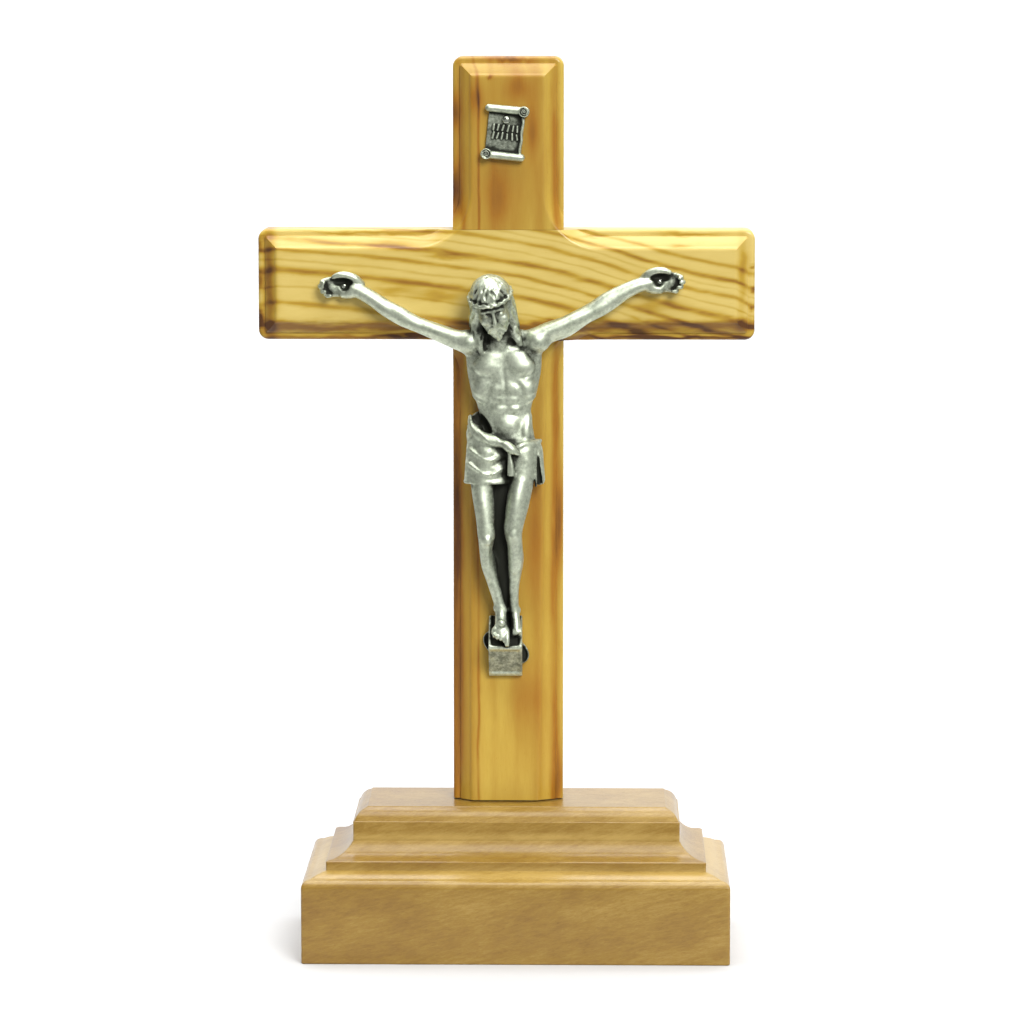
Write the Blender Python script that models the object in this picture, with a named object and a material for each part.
import math

import bmesh
import bpy
import numpy as np

# The base: a block with a step, a cove and a chamfered top, all four sides alike
BASE_WIDTH = 0.0904
BASE_DEPTH = 0.0490
BASE_OFFSET = 0.0019  # how far the base sits to the right of the post
BLOCK_HEIGHT = 0.0190
BLOCK_ROUND = 0.0024
LEDGE_WIDTH = 0.0026  # the flat between the block's round edge and the step
STEP_HEIGHT = 0.0021
COVE_RUN = 0.0055
COVE_RISE = 0.0049
COVE_HOLLOW = 0.0009
FILLET_HEIGHT = 0.0026
TOP_CHAMFER = 0.0028
TOP_SWELL = 0.0004  # how far the chamfer bulges

# The cross: two bars of one stock, half-lapped, with a moulded front edge
STOCK_WIDTH = 0.0234
STOCK_THICKNESS = 0.0109
POST_LENGTH = 0.1583
POST_OFFSET = 0.0004  # how far the post stands to the right of the crossbar's middle
BAR_LENGTH = 0.1050
BAR_LEVEL = 0.1103  # from the post's foot to the crossbar's axis
MOULDING_DEPTH = 0.0027  # from the front panel down to the ledge
MOULDING_STEP = 0.0005
MOULDING_LEDGE = 0.0015
MOULDING_BEVEL = 0.0024
MOULDING_HOLLOW = 0.00025
EDGE_ROUND = 0.0008
END_ROUND = 0.0021  # outline radius at the ends of the bars
INNER_ROUND = 0.0078  # the moulding's own radius in the four inner corners
BEVEL_DRIFT = 0.0013  # the right-hand bevel widens by this much towards the post's foot
GAP = 0.0003  # between pieces that touch

# The figure, cast in one with its footrest: everything on it is a share of its height
FIGURE_HEIGHT = 0.0862
FIGURE_OFFSET = -0.0004  # from the post's axis
PALM_LIFT = 0.0005  # of the palms above the crossbar's axis
FIGURE_CELL = 0.00042  # spacing of the modelling grid
FIGURE_KEEP = 0.090  # share of the grid's faces that are kept

# The scroll above the figure
SCROLL_WIDTH = 0.0078
SCROLL_HEIGHT = 0.0112
SCROLL_THICKNESS = 0.0009
SCROLL_ROLL = 0.0016
SCROLL_TILT = math.radians(6)
SCROLL_LEVEL = 0.0322  # above the crossbar's axis
SCROLL_OFFSET = -0.0006
SCROLL_CELL = 0.00020
SCROLL_KEEP = 0.09

# The pins
HAND_PIN_HEAD = 0.0012
HAND_PIN_SHANK = 0.0006
SCROLL_PIN_HEAD = 0.0018
SCROLL_PIN_SHANK = 0.0009
PIN_GRIP = 0.0035  # how deep a pin goes into the wood
PIN_CLEARANCE = 0.00015

MM = 0.001


def clear_scene():
    for thing in list(bpy.data.objects):
        bpy.data.objects.remove(thing, do_unlink=True)


def material(name, colour, roughness, metallic=0.0):
    made = bpy.data.materials.new(name)
    made.use_nodes = True
    shader = made.node_tree.nodes["Principled BSDF"]
    shader.inputs["Base Color"].default_value = (*colour, 1)
    shader.inputs["Roughness"].default_value = roughness
    shader.inputs["Metallic"].default_value = metallic
    made.diffuse_color = (*colour, 1)
    return made


def place_mesh(name, points, faces, surface=None):
    mesh = bpy.data.meshes.new(name)
    mesh.from_pydata([tuple(map(float, p)) for p in points], [], [tuple(map(int, f)) for f in faces])
    shape = bmesh.new()
    shape.from_mesh(mesh)
    bmesh.ops.triangulate(shape, faces=shape.faces)
    bmesh.ops.recalc_face_normals(shape, faces=shape.faces)
    shape.to_mesh(mesh)
    shape.free()
    piece = bpy.data.objects.new(name, mesh)
    bpy.context.scene.collection.objects.link(piece)
    if surface:
        mesh.materials.append(surface)
    return piece


def loft(name, rings, surface=None):
    """A closed solid through rings that all have as many points, capped flat at both ends."""
    count = len(rings[0])
    points = [point for ring in rings for point in ring]
    faces = [tuple(range(count)), tuple(range(len(points) - count, len(points)))]
    for level in range(len(rings) - 1):
        start = level * count
        for i in range(count):
            j = (i + 1) % count
            faces.append((start + i, start + j, start + count + j, start + count + i))
    return place_mesh(name, points, faces, surface)


def bow(start, end, bulge, steps):
    """Points on an arc from start to end; a positive bulge swells to the left of the way."""
    (x0, z0), (x1, z1) = start, end
    length = math.hypot(x1 - x0, z1 - z0)
    points = []
    for i in range(steps + 1):
        t = i / steps
        swell = bulge * 4 * t * (1 - t) / length
        points.append((x0 + (x1 - x0) * t - (z1 - z0) * swell, z0 + (z1 - z0) * t + (x1 - x0) * swell))
    return points


def box(name, low, high):
    (x0, y0, z0), (x1, y1, z1) = low, high
    rings = [[(x0, y0, z), (x1, y0, z), (x1, y1, z), (x0, y1, z)] for z in (z0, z1)]
    return hide(loft(name, rings))


def rod(name, radius, start, end, sides=12):
    """A round cutter along Y."""
    rings = [circle(start[0], y, start[2], radius, sides) for y in (start[1], end[1])]
    return hide(loft(name, rings))


def circle(x, y, z, radius, sides):
    turns = [2 * math.pi * i / sides for i in range(sides)]
    return [(x + radius * math.cos(a), y, z + radius * math.sin(a)) for a in turns]


def hide(cutter):
    cutter.hide_render = True
    cutter.display_type = "WIRE"
    return cutter


def boolean(piece, cutter, operation="DIFFERENCE"):
    step = piece.modifiers.new(cutter.name, "BOOLEAN")
    step.operation = operation
    step.object = cutter


# Places that several pieces share
base_height = BLOCK_HEIGHT + STEP_HEIGHT + COVE_RISE + FILLET_HEIGHT + TOP_CHAMFER
post_foot = base_height + GAP
post_top = post_foot + POST_LENGTH
post_left = POST_OFFSET - STOCK_WIDTH / 2
post_right = POST_OFFSET + STOCK_WIDTH / 2
bar_axis = post_foot + BAR_LEVEL
bar_bottom = bar_axis - STOCK_WIDTH / 2
bar_top = bar_axis + STOCK_WIDTH / 2
bar_left = -BAR_LENGTH / 2
bar_right = BAR_LENGTH / 2
front = -STOCK_THICKNESS / 2
back = STOCK_THICKNESS / 2


def base_profile():
    """(inset, height) from the floor up."""
    ledge = BLOCK_ROUND + LEDGE_WIDTH
    step_top = BLOCK_HEIGHT + STEP_HEIGHT
    cove_top = (ledge + COVE_RUN, step_top + COVE_RISE)
    chamfer_foot = (cove_top[0], cove_top[1] + FILLET_HEIGHT)
    profile = [(0, 0)]
    profile += round_corner((0, BLOCK_HEIGHT), BLOCK_ROUND)
    profile.append((ledge, BLOCK_HEIGHT))
    profile += bow((ledge, step_top), cove_top, -COVE_HOLLOW, 7)
    profile += bow(chamfer_foot, (chamfer_foot[0] + TOP_CHAMFER, base_height), TOP_SWELL, 4)
    return profile


def round_corner(corner, radius, steps=5):
    """A quarter round from the side wall over to the top, as (inset, height)."""
    turns = [math.pi / 2 * i / steps for i in range(steps + 1)]
    return [(corner[0] + radius * (1 - math.cos(a)), corner[1] - radius * (1 - math.sin(a))) for a in turns]


def make_base(wood):
    middle = POST_OFFSET + BASE_OFFSET
    rings = []
    for inset, height in base_profile():
        x = BASE_WIDTH / 2 - inset
        y = BASE_DEPTH / 2 - inset
        rings.append([(middle + a * x, b * y, height) for a, b in ((-1, -1), (1, -1), (1, 1), (-1, 1))])
    return loft("base", rings, wood)


def cross_outline(inset):
    """The cross seen from the front, drawn in by inset, its corners rounded."""
    corners = [
        (post_left, bar_bottom), (bar_left, bar_bottom), (bar_left, bar_top), (post_left, bar_top),
        (post_left, post_top), (post_right, post_top), (post_right, bar_top), (bar_right, bar_top),
        (bar_right, bar_bottom), (post_right, bar_bottom),
    ]
    below = post_foot - MOULDING_DEPTH - inset  # the blank runs past the foot, where it is cut off
    ends = [(post_left, below), *corners, (post_right, below)]
    drift = BEVEL_DRIFT * min(max(inset / MOULDING_LEDGE - 1, 0), 1)
    outline = [(post_left + inset, below)]
    for before, corner, after in zip(ends, corners, ends[2:]):
        arrive = heading(before, corner)
        leave = heading(corner, after)
        inward = (arrive[1] + leave[1], -arrive[0] - leave[0])
        x = corner[0] + inset * inward[0]
        z = corner[1] + inset * inward[1]
        outer = arrive[0] * leave[1] - arrive[1] * leave[0] < 0
        radius = max(END_ROUND - inset, 0.1 * MM) if outer else INNER_ROUND + inset
        steps = 3 if outer else 8
        for i in range(steps + 1):
            turn = math.pi / 2 * i / steps
            ahead = radius * (math.sin(turn) - 1)
            aside = radius * (1 - math.cos(turn))
            way = [a * ahead + b * aside for a, b in zip(arrive, leave)]
            outline.append((x + way[0], z + way[1]))
    outline.append((post_right - inset - drift, below))
    return outline


def heading(start, end):
    x, z = end[0] - start[0], end[1] - start[1]
    length = math.hypot(x, z)
    return x / length, z / length


def moulding_profile():
    """(inset, depth behind the front panel) from the back of the stock to the panel."""
    skin = 0.05 * MM  # the side walls are cut off flush afterwards
    bevel_foot = (MOULDING_LEDGE, MOULDING_DEPTH - MOULDING_STEP)
    bevel_top = (MOULDING_LEDGE + MOULDING_BEVEL, 0.1 * MM)
    profile = [(EDGE_ROUND / 2, STOCK_THICKNESS), (-skin, STOCK_THICKNESS - EDGE_ROUND / 2)]
    for inset, height in round_corner((-skin, -MOULDING_DEPTH), EDGE_ROUND, 3):
        profile.append((inset, -height))
    profile.append((MOULDING_LEDGE - 0.1 * MM, MOULDING_DEPTH))
    profile += bow(bevel_foot, bevel_top, MOULDING_HOLLOW, 3)
    profile.append((bevel_top[0] + EDGE_ROUND / 2, 0))
    return profile


def make_cross(wood):
    """The post and the crossbar, each cut from the same moulded blank."""
    rings = []
    for inset, depth in moulding_profile():
        rings.append([(x, front + depth, z) for x, z in cross_outline(inset)])
    post = loft("post", rings, wood)
    bar = post.copy()
    bar.data = post.data.copy()
    bar.name = "crossbar"
    bpy.context.scene.collection.objects.link(bar)
    far = BAR_LENGTH + POST_LENGTH
    boolean(post, box("post_stock", (post_left, -far, post_foot), (post_right, far, far)), "INTERSECT")
    boolean(bar, box("bar_stock", (-far, -far, bar_bottom), (far, far, bar_top)), "INTERSECT")
    boolean(post, box("post_notch", (-far, -far, bar_bottom - GAP), (far, GAP / 2, bar_top + GAP)))
    boolean(bar, box("bar_notch", (post_left - GAP, -GAP / 2, -far), (post_right + GAP, far, far)))
    return post, bar


class Clay:
    """A block of space on a grid. Each point holds its distance to the surface, negative inside."""

    def __init__(self, low, high, cell):
        self.cell = cell
        self.axes = [np.arange(a, b + cell, cell) for a, b in zip(low, high)]
        self.reach = np.full([len(axis) for axis in self.axes], 9.0)

    def window(self, low, high):
        cuts = []
        for axis, a, b in zip(self.axes, low, high):
            first, last = np.searchsorted(axis, (a, b))
            cuts.append(slice(max(first - 1, 0), last + 1))
        return tuple(cuts), np.ix_(*[axis[cut] for axis, cut in zip(self.axes, cuts)])

    def add(self, form, blend=0.6):
        distance, low, high = form
        cuts, place = self.window(np.subtract(low, 1 + blend), np.add(high, 1 + blend))
        here, new = self.reach[cuts], distance(*place)
        soft = np.maximum(blend - np.abs(here - new), 0)
        self.reach[cuts] = np.minimum(here, new) - soft * soft * 0.25 / blend

    def cut(self, form, blend=0.3):
        distance, low, high = form
        cuts, place = self.window(np.subtract(low, blend), np.add(high, blend))
        here, new = self.reach[cuts], -distance(*place)
        soft = np.maximum(blend - np.abs(here - new), 0)
        self.reach[cuts] = np.maximum(here, new) + soft * soft * 0.25 / blend

    def close_pinches(self):
        """Fills each cell that the surface would cross in two sheets, so the mesh stays one skin."""
        corners = [(i >> 2 & 1, i >> 1 & 1, i & 1) for i in range(8)]
        whole = [joined(mask, corners) and joined(255 - mask, corners) for mask in range(256)]
        parted = ~np.array(whole)
        size = [n - 1 for n in self.reach.shape]
        views = [tuple(slice(o, o + n) for o, n in zip(corner, size)) for corner in corners]
        while True:
            mask = sum((self.reach[view] < 0).astype(int) << i for i, view in enumerate(views))
            bad = parted[mask]
            if not bad.any():
                return
            for view in views:
                values = self.reach[view]
                values[bad] = np.minimum(values[bad], -0.05 * self.cell)

    def surface(self):
        """One point for each cell that the surface crosses, and a face around each crossed edge."""
        self.close_pinches()
        reach = self.reach
        size = [n - 1 for n in reach.shape]
        total = np.zeros((*size, 3))
        count = np.zeros(size, int)
        for axis in range(3):
            across = [k for k in range(3) if k != axis]
            for step in ((0, 0), (0, 1), (1, 0), (1, 1)):
                start, end = [0, 0, 0], [0, 0, 0]
                start[across[0]], start[across[1]] = step
                end[across[0]], end[across[1]] = step
                end[axis] = 1
                a = reach[tuple(slice(o, o + n) for o, n in zip(start, size))]
                b = reach[tuple(slice(o, o + n) for o, n in zip(end, size))]
                crossed = np.nonzero((a < 0) != (b < 0))
                count[crossed] += 1
                total[(*crossed, axis)] += a[crossed] / (a[crossed] - b[crossed])
                total[(*crossed, across[0])] += step[0]
                total[(*crossed, across[1])] += step[1]
        cells = np.nonzero(count)
        number = np.full(size, -1)
        number[cells] = np.arange(len(cells[0]))
        inner = total[cells] / count[cells][:, None]
        points = np.stack([self.axes[k][cells[k]] + inner[:, k] * self.cell for k in range(3)], 1)
        faces = []
        for axis in range(3):
            across = [k for k in range(3) if k != axis]
            near = tuple(slice(0, -1) if k == axis else slice(1, -1) for k in range(3))
            far = tuple(slice(1, None) if k == axis else slice(1, -1) for k in range(3))
            edge = np.stack(np.nonzero((reach[near] < 0) != (reach[far] < 0)))
            edge[across] += 1
            ring = []
            for da, db in ((1, 1), (0, 1), (0, 0), (1, 0)):
                cell = edge.copy()
                cell[across[0]] -= da
                cell[across[1]] -= db
                ring.append(number[tuple(cell)])
            faces.append(np.stack(ring, 1))
        return points, np.concatenate(faces)


def joined(mask, corners):
    """Whether the marked corners of a cell hang together along its edges."""
    marked = {corner for i, corner in enumerate(corners) if mask >> i & 1}
    if not marked:
        return True
    reached = {next(iter(marked))}
    while True:
        grown = {c for c in marked if any(sum(abs(a - b) for a, b in zip(c, r)) <= 1 for r in reached)}
        if grown == reached:
            return reached == marked
        reached = grown


def ball(centre, radii, frame=None):
    """An ellipsoid, along the axes of the frame if one is given."""
    turn = np.eye(3) if frame is None else np.array(frame)
    radii = np.broadcast_to(np.array(radii, float), 3)

    def distance(*place):
        near = far = 0
        for axis, radius in zip(turn, radii):
            along = sum((p - c) * a for p, c, a in zip(place, centre, axis)) / radius
            near = near + along**2
            far = far + (along / radius) ** 2
        near = np.sqrt(near)
        return near * (near - 1) / np.sqrt(far + 1e-9)

    half = np.sqrt(((turn * radii[:, None]) ** 2).sum(0))
    return distance, centre - half, centre + half


def smooth(rows, steps):
    """Rows of numbers made into a smooth run that passes through each of them."""
    rows = np.array(rows, float)
    ends = np.vstack([2 * rows[0] - rows[1], rows, 2 * rows[-1] - rows[-2]])
    made = []
    for a, b, c, d in zip(ends, ends[1:], ends[2:], ends[3:]):
        for t in np.arange(steps) / steps:
            bend = (2 * a - 5 * b + 4 * c - d) * t**2 + (3 * b - a - 3 * c + d) * t**3
            made.append(0.5 * (2 * b + (c - a) * t + bend))
    return np.array([*made, rows[-1]])


def limb(rows, steps=3, flat=1.0):
    """A round tube through rows of (across, out, up, radius); flat thins it from front to back."""
    run = smooth(rows, steps) if steps > 1 else np.array(rows, float)

    def distance(x, w, z):
        nearest = np.inf
        for (ax, aw, az, ar), (bx, bw, bz, br) in zip(run, run[1:]):
            dx, dw, dz = bx - ax, bw - aw, bz - az
            t = np.clip(((x - ax) * dx + (w - aw) * dw + (z - az) * dz) / (dx**2 + dw**2 + dz**2), 0, 1)
            out = (w - aw - t * dw) / flat
            off = np.sqrt((x - ax - t * dx) ** 2 + out**2 + (z - az - t * dz) ** 2)
            nearest = np.minimum(nearest, off - ar - t * (br - ar))
        return nearest * flat

    return distance, (run[:, :3] - run[:, 3:]).min(0), (run[:, :3] + run[:, 3:]).max(0)


def barrel(rows, soft=0.5):
    """A body through level sections, rows of (up, across, out, half width, half depth) from below."""
    run = smooth(rows, 6)

    def distance(x, w, z):
        across, out, wide, deep = [np.interp(z, run[:, 0], run[:, k]) for k in (1, 2, 3, 4)]
        u, v = (x - across) / wide, (w - out) / deep
        near = np.sqrt(u**2 + v**2)
        side = near * (near - 1) / np.sqrt((u / wide) ** 2 + (v / deep) ** 2 + 1e-9)
        end = np.maximum(z - run[-1, 0], run[0, 0] - z)
        round_off = np.maximum(soft - np.abs(side - end), 0)
        return np.maximum(side, end) + round_off**2 * 0.25 / soft

    low = [(run[:, 1] - run[:, 3]).min(), (run[:, 2] - run[:, 4]).min(), run[0, 0]]
    high = [(run[:, 1] + run[:, 3]).max(), (run[:, 2] + run[:, 4]).max(), run[-1, 0]]
    return distance, low, high


def prism(outline, left, right):
    """A convex outline of (out, up) points, given anticlockwise, from left to right."""

    def distance(x, w, z):
        side = np.maximum(left - x, x - right)
        for (w0, z0), (w1, z1) in zip(outline, outline[1:] + outline[:1]):
            length = math.hypot(w1 - w0, z1 - z0)
            side = np.maximum(side, ((w - w0) * (z1 - z0) - (z - z0) * (w1 - w0)) / length)
        return side

    outs, ups = zip(*outline)
    return distance, (left, min(outs), min(ups)), (right, max(outs), max(ups))


def oval(centre, long, short, tilt, low, high):
    """A flat disc facing out, between two depths."""
    cos, sin = math.cos(tilt), math.sin(tilt)

    def distance(x, w, z):
        u, v = x - centre[0], z - centre[1]
        u, v = (u * cos + v * sin) / long, (v * cos - u * sin) / short
        near = np.sqrt(u**2 + v**2)
        side = near * (near - 1) / np.sqrt((u / long) ** 2 + (v / short) ** 2 + 1e-9)
        return np.maximum(side, np.maximum(low - w, w - high))

    return distance, (centre[0] - long, low, centre[1] - long), (centre[0] + long, high, centre[1] + long)


# The figure's places, as percentages of its height: across, out from the wood, up from its foot
HEAD = (-3.2, 8.6, 92.5)
HEAD_BOW = math.radians(26)
HEAD_TILT = math.radians(11)
LEFT_PALM = (-39.6, 96.6)
RIGHT_PALM = (37.5, 97.8)
PALM_SEAT = 1.9  # depth of the flat under each pin's head


def head_frame():
    """The head's own axes, each as (across, out, up): to its side, out of its face, to its crown."""
    bow_cos, bow_sin = math.cos(HEAD_BOW), math.sin(HEAD_BOW)
    tilt_cos, tilt_sin = math.cos(HEAD_TILT), math.sin(HEAD_TILT)
    side = (tilt_cos, 0, tilt_sin)
    face = (tilt_sin * bow_sin, bow_cos, -tilt_cos * bow_sin)
    crown = (-tilt_sin * bow_cos, bow_sin, tilt_cos * bow_cos)
    return np.array([side, face, crown])


def in_head(side, out, up):
    return np.array(HEAD) + np.array([side, out, up]) @ head_frame()


def head_lock(rows, steps=3):
    """A lock of hair whose rows of (side, out, up, radius) are given in the head's own axes."""
    return limb([(*in_head(*row[:3]), row[3]) for row in rows], steps)


def shape_torso(clay):
    clay.add(barrel([
        (55, -0.6, 4.0, 8.0, 3.2), (60, -0.2, 4.0, 7.2, 2.9), (64, 0.0, 3.9, 6.3, 2.5),
        (67, -0.3, 4.0, 6.5, 2.5), (71, -0.4, 4.1, 7.6, 2.9), (76, -0.6, 4.2, 8.1, 3.1),
        (80, -0.9, 4.1, 8.3, 2.8), (83.5, -1.1, 3.9, 7.0, 2.2),
    ], 1.6), 1.0)
    for side, x in ((-1, -4.7), (1, 3.4)):
        clay.add(ball((x, 5.9, 77.4), (3.9, 1.7, 2.9)), 0.8)
        clay.add(ball((x + side * 0.6, 5.3, 72.0), (3.3, 1.8, 3.0)), 0.9)
        clay.add(ball((x + side * 4.4, 4.5, 83.4), (2.9, 2.5, 2.7)), 1.4)
        collar = [(x * 0.25, 6.0, 81.7, 0.5), (x + side, 5.8, 82.9, 0.6), (x + side * 4.2, 5.2, 84.8, 0.5)]
        clay.add(limb(collar), 0.7)
        clay.cut(limb([
            (side * 0.9 - 0.4, 8.0, 74.4, 0.5), (side * 3.0 - 0.2, 7.5, 72.7, 0.5),
            (side * 4.5 - 0.1, 7.0, 70.0, 0.5), (side * 4.4, 6.8, 65.5, 0.4),
        ]), 0.8)
    for row, up in enumerate((71.6, 68.9, 66.4)):
        middle = -0.3 + 0.25 * row
        for side in (-1, 1):
            clay.add(ball((middle + side * 1.75, 6.1 - 0.15 * row, up), (1.9, 1.1, 1.4)), 0.4)
    clay.add(ball((0.4, 5.1, 62.6), (3.5, 2.0, 2.8)), 0.6)
    middle = [(-0.75, 7.9, 81.0, 0.4), (-0.65, 7.9, 77, 0.6), (-0.2, 7.5, 73, 0.5), (0.4, 7.1, 65, 0.35)]
    clay.cut(limb(middle), 0.6)
    clay.cut(ball((-6.7, 6.0, 66.0), (1.4, 2.0, 1.6)), 0.6)


def shape_arms(clay):
    clay.add(limb([
        (-9.2, 4.3, 83.0, 2.85), (-12.4, 4.1, 83.9, 2.45), (-14.4, 3.9, 84.7, 2.3), (-17.8, 3.6, 86.0, 2.15),
        (-21.4, 3.3, 87.3, 2.05), (-24.9, 3.0, 88.9, 2.2), (-29.3, 2.8, 91.3, 2.0), (-32.3, 2.6, 93.6, 1.7),
        (-35.7, 2.3, 95.6, 1.4), (-38.0, 2.0, 96.4, 1.45),
    ]), 1.2)
    clay.add(limb([
        (7.6, 4.3, 83.9, 2.85), (10.3, 4.1, 85.6, 2.5), (14.9, 3.7, 87.3, 2.4), (19.5, 3.4, 89.8, 2.3),
        (23.0, 3.1, 91.7, 2.4), (25.9, 2.9, 93.5, 2.2), (29.0, 2.7, 95.6, 1.9), (32.7, 2.4, 97.3, 1.45),
        (35.4, 2.0, 97.8, 1.5),
    ]), 1.2)


def shape_hand(clay, side, x, z):
    """A hand open towards the front, its fingers pointing away from the body and curled."""

    def rows(spots):
        return [(x + side * across, out, z + up, thick) for across, out, up, thick in spots]

    clay.add(ball((x - side * 0.6, 1.5, z - 0.3), (3.1, 1.4, 2.5)), 0.8)
    clay.add(limb(rows([
        (-3.9, 1.9, 0.3, 0.8), (-2.6, 2.6, 2.0, 0.95), (-0.7, 3.1, 3.0, 0.8),
        (1.2, 3.2, 3.1, 0.7), (2.5, 3.1, 2.7, 0.5),
    ])), 0.3)
    for up, reach, sink in ((1.7, 4.7, 0.6), (0.4, 5.1, 0.3), (-0.9, 4.8, 0.3), (-2.1, 3.7, 0.4)):
        clay.add(limb(rows([
            (1.0, 1.5, up, 0.8), (reach - 1.5, 1.4, up + 0.1, 0.74), (reach, 1.9, up - 0.1, 0.7),
            (reach + 1.0, 2.8, up - sink, 0.6), (reach + 0.5, 3.5, up - sink - 0.2, 0.5),
        ]), 2), 0.2)
    clay.cut(ball((x - side * 0.2, 3.9, z + 0.45), (1.9, 1.9, 1.45)), 0.35)


def shape_legs(clay):
    clay.add(barrel([
        (14.5, 0.4, 1.4, 1.8, 1.2), (17.0, 0.4, 1.6, 1.6, 1.2), (24.5, -0.4, 2.0, 2.6, 1.4),
        (32.5, -1.1, 2.4, 3.2, 1.6), (42, -1.2, 2.4, 3.9, 1.6), (58, -0.5, 2.6, 4.5, 1.8),
    ]), 0.3)
    clay.add(limb([
        (-4.6, 4.3, 56, 4.0), (-5.6, 5.2, 48.5, 2.95), (-5.0, 6.4, 42, 2.45), (-4.65, 7.0, 37.4, 2.1),
        (-4.7, 6.5, 34, 1.85), (-4.3, 5.7, 28.5, 1.65), (-3.4, 5.1, 25, 1.5), (-2.3, 4.7, 21.3, 1.4),
        (-1.35, 4.4, 17.8, 1.3),
    ]), 0.9)
    clay.add(limb([
        (4.0, 4.3, 56, 3.9), (4.0, 5.2, 50, 3.05), (2.8, 6.4, 44.5, 2.85), (1.8, 7.0, 39.7, 2.3),
        (2.0, 6.8, 36, 2.1), (2.3, 6.2, 32.5, 1.95), (2.25, 5.4, 28.5, 1.75), (2.05, 4.5, 24.5, 1.4),
        (1.9, 3.9, 20.5, 1.25), (2.0, 3.6, 17.2, 1.25),
    ]), 0.9)
    for x, up in ((-4.6, 37.0), (1.8, 38.8)):
        clay.add(ball((x, 8.3, up), (1.3, 0.9, 1.6)), 0.7)
        clay.add(limb([(x, 8.4, up - 2, 0.5), (x + 0.1, 7.2, up - 7, 0.5)], 1), 0.8)
    clay.add(limb([(-4.8, 4.7, 32.5, 1.0), (-4.8, 4.2, 29.0, 1.3), (-3.9, 4.0, 25, 0.8)]), 1.0)
    clay.add(limb([(2.8, 4.8, 33, 1.1), (3.1, 4.3, 29.5, 1.4), (2.6, 3.7, 24.5, 0.7)]), 1.0)


def shape_feet(clay):
    clay.add(limb([
        (-1.3, 4.3, 17.8, 1.4), (-1.15, 4.9, 15.4, 1.5), (-1.1, 5.9, 12.6, 1.6), (-1.1, 6.7, 10.9, 1.3),
    ]), 0.6)
    clay.add(limb([(-1.2, 3.5, 15.0, 1.4), (-1.15, 4.5, 12.9, 1.5), (-1.1, 5.5, 11.0, 1.3)]), 0.6)
    clay.add(ball((-1.15, 6.2, 11.8), (2.1, 1.1, 1.6)), 0.5)
    clay.add(limb([
        (2.1, 3.5, 17.2, 1.2), (2.35, 4.2, 14.9, 1.2), (2.6, 5.3, 12.9, 1.1), (2.7, 6.0, 11.6, 0.8),
    ]), 0.5)
    clay.add(limb([(2.2, 2.8, 15.0, 1.1), (2.5, 4.0, 12.9, 1.2), (2.7, 4.9, 11.5, 1.0)]), 0.5)
    for toe, tip in enumerate((9.0, 9.5, 9.9, 10.3, 10.8)):
        x = 0.35 - 0.68 * toe
        clay.add(limb([(x, 6.8, 11.4, 0.55), (x, 7.5, tip, 0.6 if toe == 0 else 0.45)], 1), 0.25)
    clay.add(ball((-1.1, 7.2, 14.5), (0.9, 0.9, 0.9)), 0.25)


def shape_footrest(clay):
    """A wedge hollowed between its two sides, its front sloping back in below, with an oval boss behind."""
    clay.add(oval((0.0, 7.3), 6.2, 3.4, math.radians(-28), 0.0, 1.2), 0.2)
    wedge = [(0.0, 0.2), (1.3, 0.2), (6.7, 7.9), (6.7, 8.5), (1.0, 15.2), (0.0, 15.2)]
    clay.add(prism(wedge, -4.2, 4.0), 0.2)
    clay.cut(prism([(1.75, 1.6), (8.0, 1.6), (8.0, 6.9), (5.5, 6.9)], -3.2, 3.0), 0.15)
    clay.cut(prism([(5.7, 8.8), (8.0, 8.8), (8.0, 16.5), (-0.8, 16.5)], -3.3, 3.1), 0.15)


def shape_cloth(clay):
    clay.add(barrel([
        (48.5, -6.1, 4.6, 3.7, 3.4), (52, -6.0, 4.6, 3.8, 3.4), (57, -4.9, 4.6, 4.3, 3.3),
        (61, -4.2, 4.5, 4.3, 2.9), (64.3, -4.7, 4.2, 3.6, 2.4), (66.3, -5.9, 3.4, 2.3, 1.7),
    ], 0.4), 0.6)
    clay.add(barrel([
        (51.9, 3.5, 4.7, 3.7, 3.2), (55, 3.6, 4.7, 4.1, 3.3), (60.4, 3.0, 4.4, 4.8, 2.8),
    ], 0.4), 0.6)
    clay.add(limb([
        (-8.4, 2.8, 66.4, 0.4), (-7.9, 4.4, 65.3, 0.85), (-5.6, 6.3, 62.9, 1.15), (-2.7, 7.1, 61.0, 1.25),
        (0.0, 7.5, 59.5, 1.2), (1.8, 7.7, 58.7, 1.0),
    ]), 0.4)
    clay.add(limb([
        (1.6, 7.7, 58.8, 0.9), (4.4, 7.1, 59.8, 0.85), (6.8, 5.4, 60.3, 0.8), (8.0, 3.3, 60.6, 0.6),
    ]), 0.4)
    clay.add(ball((1.5, 8.1, 58.6), (1.6, 1.0, 1.1)), 0.25)
    clay.add(limb([(1.4, 8.3, 57.8, 0.5), (1.6, 8.4, 55.5, 0.75), (1.8, 8.2, 53.0, 1.0)], 3, 0.6), 0.2)
    clay.add(limb([
        (7.4, 3.8, 60.6, 0.7), (8.1, 3.9, 57, 1.0), (8.2, 4.1, 53, 1.25), (8.3, 4.1, 49.4, 1.4),
    ]), 0.4)
    for left, deep, right in ((62.0, 58.8, 58.4), (58.6, 55.2, 55.8), (55.0, 51.8, 53.0)):
        clay.add(limb([(-9.6, 4.4, left, 0.35), (-6.0, 7.7, deep, 0.5), (-2.1, 7.3, right, 0.4)], 4), 0.6)


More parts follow.
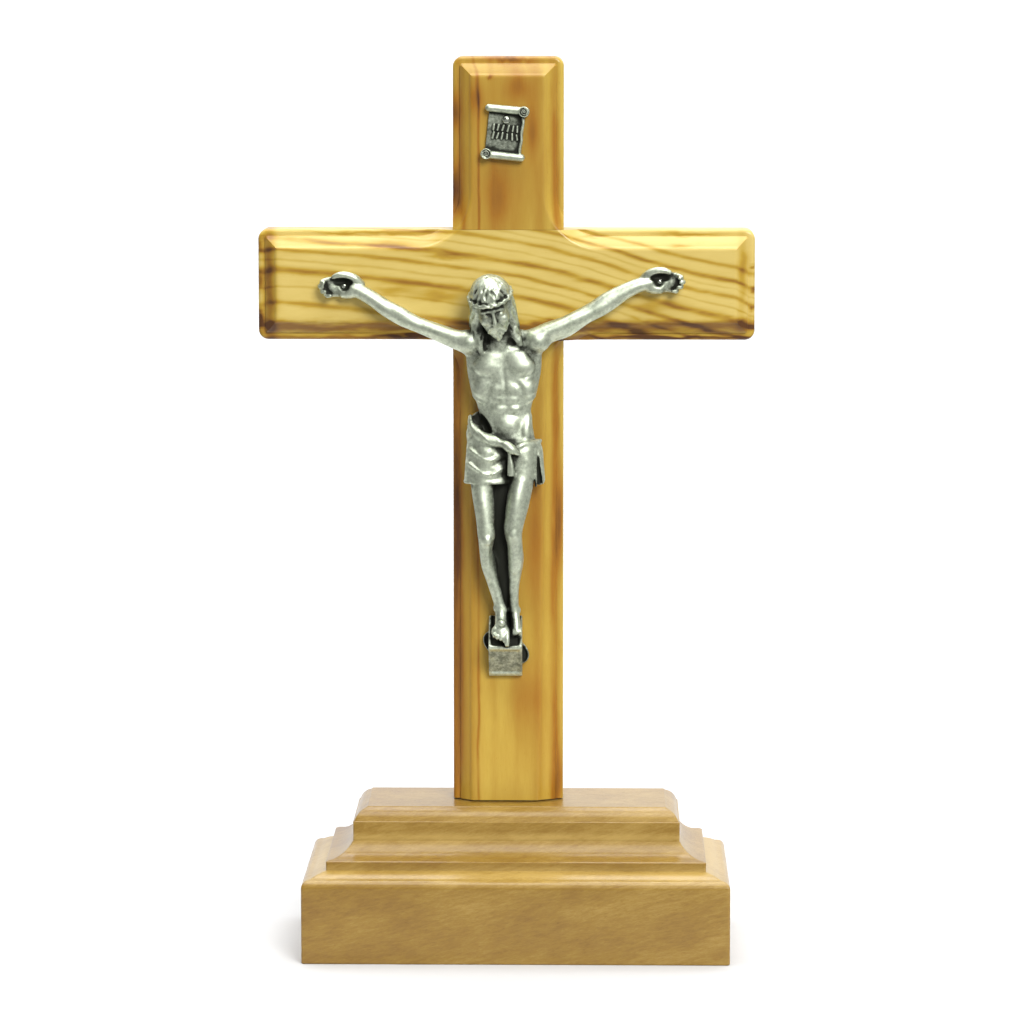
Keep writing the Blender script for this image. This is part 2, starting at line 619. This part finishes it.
def shape_head(clay):
    frame = head_frame()
    clay.add(limb([(-1.3, 4.0, 82.2, 2.8), (-1.9, 6.0, 86.5, 2.4), (-2.6, 7.4, 90.5, 2.5)]), 1.2)
    clay.add(ball(in_head(0, -0.6, 1.9), (4.5, 5.2, 4.9), frame), 0.5)
    clay.add(ball(in_head(0, 1.3, -1.9), (3.75, 3.9, 4.4), frame), 0.8)
    clay.add(ball(in_head(0, 3.2, -4.7), (2.4, 2.1, 2.4), frame), 0.9)
    clay.add(head_lock([(0, 4.95, 0.8, 0.45), (0, 5.6, -0.9, 0.55), (0, 5.9, -2.1, 0.65)]), 0.35)
    for side in (-1, 1):
        clay.cut(ball(in_head(side * 1.65, 5.4, -0.05), (1.2, 0.9, 0.75), frame), 0.5)
        clay.add(ball(in_head(side * 1.65, 4.1, -0.1), (0.95, 0.75, 0.55), frame), 0.15)
        brow = [(side * 0.7, 5.0, 1.0, 0.35), (side * 1.9, 4.8, 1.15, 0.35), (side * 3.0, 3.7, 0.9, 0.3)]
        lip = [(side * 0.2, 5.4, -3.1, 0.4), (side * 1.3, 4.9, -3.6, 0.4), (side * 1.9, 4.3, -4.6, 0.35)]
        clay.add(head_lock(brow), 0.5)
        clay.add(head_lock(lip), 0.3)
    clay.add(head_lock([(-0.8, 5.2, -4.2, 0.28), (0, 5.4, -4.25, 0.34), (0.8, 5.2, -4.2, 0.28)]), 0.2)


def shape_hair(clay):
    """A parted cap of long hair that falls close by the neck on both shoulders, held by a twisted band."""
    frame = head_frame()
    clay.add(ball(in_head(0, -1.0, 2.0), (5.0, 5.2, 5.2), frame), 0.4)
    left = ((-6.6, 5.9, 88.3, 2.1), (-6.5, 5.8, 85.4, 1.85), (-6.3, 6.2, 82.4, 1.25), (-5.9, 6.7, 79.9, 0.5))
    right = ((0.9, 5.8, 88.3, 2.1), (1.5, 5.6, 85.9, 1.7), (2.7, 5.9, 84.2, 1.2), (3.5, 6.3, 82.7, 0.5))
    for side, falling in ((-1, left), (1, right)):
        ear = [(*in_head(side * 2.9, -0.4, 2.0), 2.4), (*in_head(side * 3.1, -0.3, -1.2), 2.25)]
        body = smooth([*ear, *falling], 3)
        clay.add(limb(body, 1), 0.5)
        for lock in range(4):
            around = math.radians(-20 + 42 * lock)
            aside, ahead = side * math.sin(around), math.cos(around)
            clay.add(limb([(u + r * aside, w + r * ahead, v, 0.6) for u, w, v, r in body[1:]], 1), 0.3)
    for strand in (0, math.pi):
        rows = []
        for i in range(25):
            turn = math.pi * (i / 24 * 1.8 - 0.4)
            twist = 9 * turn + strand
            out_by = 0.3 * math.cos(twist)
            rows.append((
                (5.0 + out_by) * math.cos(turn), (5.3 + out_by) * math.sin(turn) - 0.8,
                2.8 + 0.3 * math.sin(twist), 0.42,
            ))
        clay.add(head_lock(rows, 1), 0.15)
    for lock in range(5):
        side = lock - 2
        clay.add(head_lock([
            (side * 0.9, 4.2 - 0.35 * abs(side), -5.0 + 0.3 * abs(side), 0.7),
            (side * 0.75, 4.3 - 0.35 * abs(side), -6.2 + 0.4 * abs(side), 0.6),
            (side * 0.45, 3.8 - 0.2 * abs(side), -7.3 + 0.5 * abs(side), 0.35),
        ]), 0.3)


def make_figure(silver):
    share = FIGURE_HEIGHT / 100
    clay = Clay((-49, -2, -2), (46, 17, 103), FIGURE_CELL / share)
    shape_torso(clay)
    shape_arms(clay)
    shape_hand(clay, -1, *LEFT_PALM)
    shape_hand(clay, 1, *RIGHT_PALM)
    shape_legs(clay)
    shape_cloth(clay)
    shape_head(clay)
    shape_hair(clay)
    shape_footrest(clay)
    shape_feet(clay)
    far = 200
    clay.cut((lambda x, w, z: w + 0 * x + 0 * z, (-far, -far, -far), (far, 1.0, far)), 0.05)
    points, faces = clay.surface()
    origin = np.array([figure_x(), figure_back(), figure_foot()])
    points = origin + points * np.array([1, -1, 1]) * share
    figure = place_mesh("corpus", points, faces, silver)
    thin = figure.modifiers.new("thin", "DECIMATE")
    thin.ratio = FIGURE_KEEP
    return figure


def figure_x():
    return POST_OFFSET + FIGURE_OFFSET


def figure_back():
    return front - GAP


def figure_foot():
    """The palms lie along the crossbar, so the foot follows from the figure's height."""
    palms = (LEFT_PALM[1] + RIGHT_PALM[1]) / 2
    return bar_axis + PALM_LIFT - palms * FIGURE_HEIGHT / 100


def make_scroll(silver):
    """A plate with a roll along its top and bottom, one end of each roll curled wider."""
    clay = Clay((-6.5, -1, -8), (6.5, 4.5, 8), SCROLL_CELL / MM)
    half = SCROLL_WIDTH / 2 / MM
    roll = SCROLL_ROLL / 2 / MM
    thick = SCROLL_THICKNESS / MM
    rise = SCROLL_HEIGHT / 2 / MM - roll
    clay.add(prism([(0, -rise), (thick, -rise), (thick, rise), (0, rise)], 0.15 - half, half - 0.15), 0.1)
    for side in (-1, 1):
        edge = side * (half - 0.35)
        clay.add(limb([(edge, thick, -rise, 0.25), (edge, thick, rise, 0.25)], 1), 0.1)
    for side, up in ((1, rise), (-1, -rise)):
        curl = roll * 1.45
        run = [(-side * half, roll, up, roll * 0.85), (side * half, roll, up - side * 0.1, roll)]
        clay.add(limb(run, 1), 0.15)
        end = (side * (half - curl * 0.4), up - side * 0.3)
        clay.add(oval(end, curl, curl, 0, 0.1, roll * 2 + 0.25), 0.15)
    clay.cut((lambda x, w, z: w + 0 * x + 0 * z, (-9, -9, -9), (9, 0.6, 9)), 0.05)
    points, faces = clay.surface()
    cos, sin = math.cos(SCROLL_TILT), math.sin(SCROLL_TILT)
    x, out, z = points.T * MM
    points = np.stack([x * cos + z * sin, -out, z * cos - x * sin], 1) + np.array(scroll_place())
    scroll = place_mesh("scroll", points, faces, silver)
    thin = scroll.modifiers.new("thin", "DECIMATE")
    thin.ratio = SCROLL_KEEP
    return scroll


def scroll_place():
    return (POST_OFFSET + SCROLL_OFFSET, front - GAP, bar_axis + SCROLL_LEVEL)


def make_pin(name, place, seat, head, shank, silver, held):
    """A round-headed pin: its head on the seat, its shank through each held piece in turn."""
    x, z = place
    under = seat - PIN_CLEARANCE
    tip = front + PIN_GRIP
    rings = [circle(x, tip, z, shank * 0.3, 12), circle(x, tip - shank, z, shank / 2, 12)]
    rings.append(circle(x, under, z, shank / 2, 12))
    for i in range(5):
        turn = math.pi / 2 * i / 4.6
        rings.append(circle(x, under - 0.35 * head * math.sin(turn), z, head / 2 * math.cos(turn), 12))
    hole = rod(name + "_hole", shank / 2 + PIN_CLEARANCE, (x, seat - head, z), (x, tip + GAP, z))
    for piece in held:
        boolean(piece, hole)
    return loft(name, rings, silver)


def main():
    clear_scene()
    base_wood = material("base_wood", (0.50, 0.31, 0.16), 0.45)
    olive_wood = material("olive_wood", (0.66, 0.42, 0.13), 0.4)
    silver = material("antique_silver", (0.62, 0.63, 0.58), 0.32, 1.0)
    bright = material("pin_metal", (0.75, 0.75, 0.72), 0.25, 1.0)
    make_base(base_wood)
    post, bar = make_cross(olive_wood)
    figure = make_figure(silver)
    scroll = make_scroll(silver)
    share = FIGURE_HEIGHT / 100
    seat = figure_back() - PALM_SEAT * share
    for name, palm in (("pin_hand_left", LEFT_PALM), ("pin_hand_right", RIGHT_PALM)):
        place = (figure_x() + palm[0] * share, figure_foot() + palm[1] * share)
        room = (place[0], seat - HAND_PIN_HEAD * 4, place[1])
        wide = rod(name + "_seat", HAND_PIN_HEAD / 2 + PIN_CLEARANCE, (place[0], seat, place[1]), room)
        boolean(figure, wide)
        make_pin(name, place, seat, HAND_PIN_HEAD, HAND_PIN_SHANK, bright, (figure, bar))
    x, y, z = scroll_place()
    lift = SCROLL_HEIGHT / 2 - SCROLL_ROLL - SCROLL_PIN_HEAD * 0.7
    place = (x + lift * math.sin(SCROLL_TILT), z + lift * math.cos(SCROLL_TILT))
    seat = y - SCROLL_THICKNESS
    make_pin("pin_scroll", place, seat, SCROLL_PIN_HEAD, SCROLL_PIN_SHANK, bright, (scroll, post))


main()
